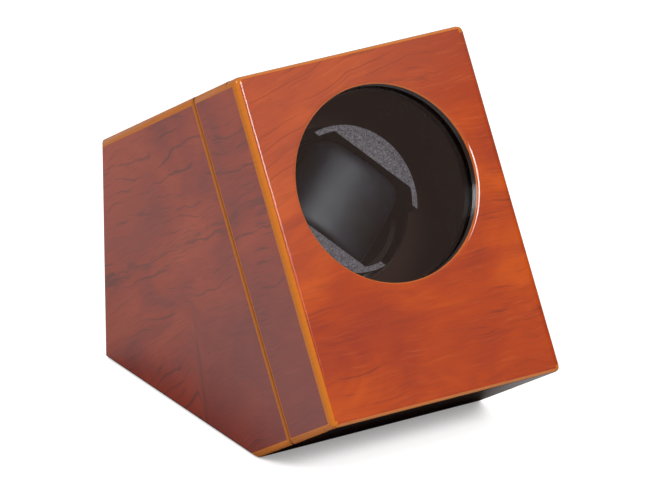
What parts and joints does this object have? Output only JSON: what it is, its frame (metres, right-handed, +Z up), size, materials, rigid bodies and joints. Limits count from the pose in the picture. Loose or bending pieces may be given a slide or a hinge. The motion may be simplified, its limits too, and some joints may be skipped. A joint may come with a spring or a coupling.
{
  "type": "watch winder",
  "caption": "Tilted wooden watch winder: a leaning box with a deep hinged front door, round glass window, motor-driven cup and a lift-out watch pillow.",
  "frame": {"origin": "middle of the object's bounding box, at the height of the surface that it stands on", "axes": "+X to the right seen from the front, +Y to the back, +Z up"},
  "size_m": [0.152, 0.2536, 0.2248],
  "materials": {
    "veneer": "high-gloss lacquered figured veneer, reddish brown, with amber rounded edges",
    "dark_lacquer": "black gloss lacquer",
    "plain_wood": "planed softwood",
    "felt": "black felt",
    "black_flock": "black flocked board",
    "clear_glass": "clear polished glass",
    "black_gloss": "glossy black moulding",
    "speckled_grey": "grey speckled flock on a moulded cup",
    "black_satin": "smooth satin black covering",
    "brass": "polished brass",
    "steel": "plated steel",
    "plate_alloy": "sheet alloy",
    "nylon": "natural nylon",
    "belt_rubber": "smooth rubber",
    "black_plastic": "moulded black plastic",
    "board_green": "green solder mask",
    "magnet_plating": "nickel plating",
    "wire_cover": "red and black insulation"
  },
  "bodies": {
    "case": {"left_side_panel": "veneer", "right_side_panel": "veneer", "top_panel": "veneer", "back_panel": "veneer", "base_panel": "dark_lacquer", "underside_panel": "dark_lacquer", "base_felt": "felt", "front_deck": "black_flock", "deck_battens": "plain_wood", "deck_screws": "steel", "case_magnets": "magnet_plating", "hinge_case_leaves": "brass", "hinge_pins": "brass", "hinge_case_screws": "brass", "drive_plate": "plate_alloy", "plate_standoffs": "brass", "standoff_screws": "steel", "plate_screws": "steel", "rotor_bearing": "brass", "motor_gearbox": "steel", "motor_can": "steel", "motor_screws": "steel", "drive_belt": "belt_rubber", "motor_lead": "wire_cover", "control_tray": "black_plastic", "tray_screws": "steel", "control_board": "board_green", "board_components": "black_plastic", "board_screws": "steel", "turns_selector_body": "black_plastic", "direction_selector_body": "black_plastic", "rocker_housing": "black_plastic", "power_jack": "black_plastic"},
    "door": {"door_front_panel": "veneer", "door_left_rail": "veneer", "door_right_rail": "veneer", "door_top_rail": "veneer", "door_bottom_rail": "dark_lacquer", "window_pane": "clear_glass", "pane_ring": "black_gloss", "door_strikes": "steel", "hinge_door_leaves": "brass", "hinge_door_screws": "brass"},
    "rotor": {"rotor_cup": "speckled_grey", "upper_cheek": "speckled_grey", "lower_cheek": "speckled_grey", "rotor_shaft": "steel", "rotor_pulley": "nylon", "cup_screws": "steel", "thrust_washer": "nylon", "shaft_clip": "steel"},
    "pillow": {"watch_pillow": "black_satin"},
    "motor_drive": {"motor_pulley": "nylon", "motor_shaft": "steel"},
    "turns_knob": {"turns_knob": "black_plastic", "turns_knob_shaft": "steel"},
    "direction_knob": {"direction_knob": "black_plastic", "direction_knob_shaft": "steel"},
    "power_rocker": {"power_rocker": "black_gloss"}
  },
  "joints": [
    {"name": "door_hinge", "type": "hinge", "parent": "case", "child": "door", "pos_m": [0, 0.02315, 0.19867], "axis": [-1, 0, 0], "range_deg": [0, 175]},
    {"name": "rotor_spin", "type": "hinge", "parent": "case", "child": "rotor", "pos_m": [0, -0.02331, 0.13557], "axis": [0, -0.859, 0.512], "continuous": true},
    {"name": "motor_pulley_spin", "type": "hinge", "parent": "case", "child": "motor_drive", "pos_m": [0, -0.00511, 0.06651], "axis": [0, -0.859, 0.512], "continuous": true},
    {"name": "pillow_slide", "type": "slide", "parent": "rotor", "child": "pillow", "axis": [0, -0.859, 0.512], "range_m": [0, 0.036]},
    {"name": "turns_knob_turn", "type": "hinge", "parent": "case", "child": "turns_knob", "pos_m": [0.008, 0.11483, 0.071], "axis": [0, 1, 0], "range_deg": [0, 90]},
    {"name": "direction_knob_turn", "type": "hinge", "parent": "case", "child": "direction_knob", "pos_m": [0.032, 0.11483, 0.071], "axis": [0, 1, 0], "range_deg": [-45, 45]},
    {"name": "power_rocker_tilt", "type": "hinge", "parent": "case", "child": "power_rocker", "pos_m": [-0.016, 0.11483, 0.071], "axis": [1, 0, 0], "range_deg": [-18, 0]}
  ],
  "couplings": [
    {"joint": "motor_pulley_spin", "follows": "rotor_spin", "ratio": 4}
  ]
}
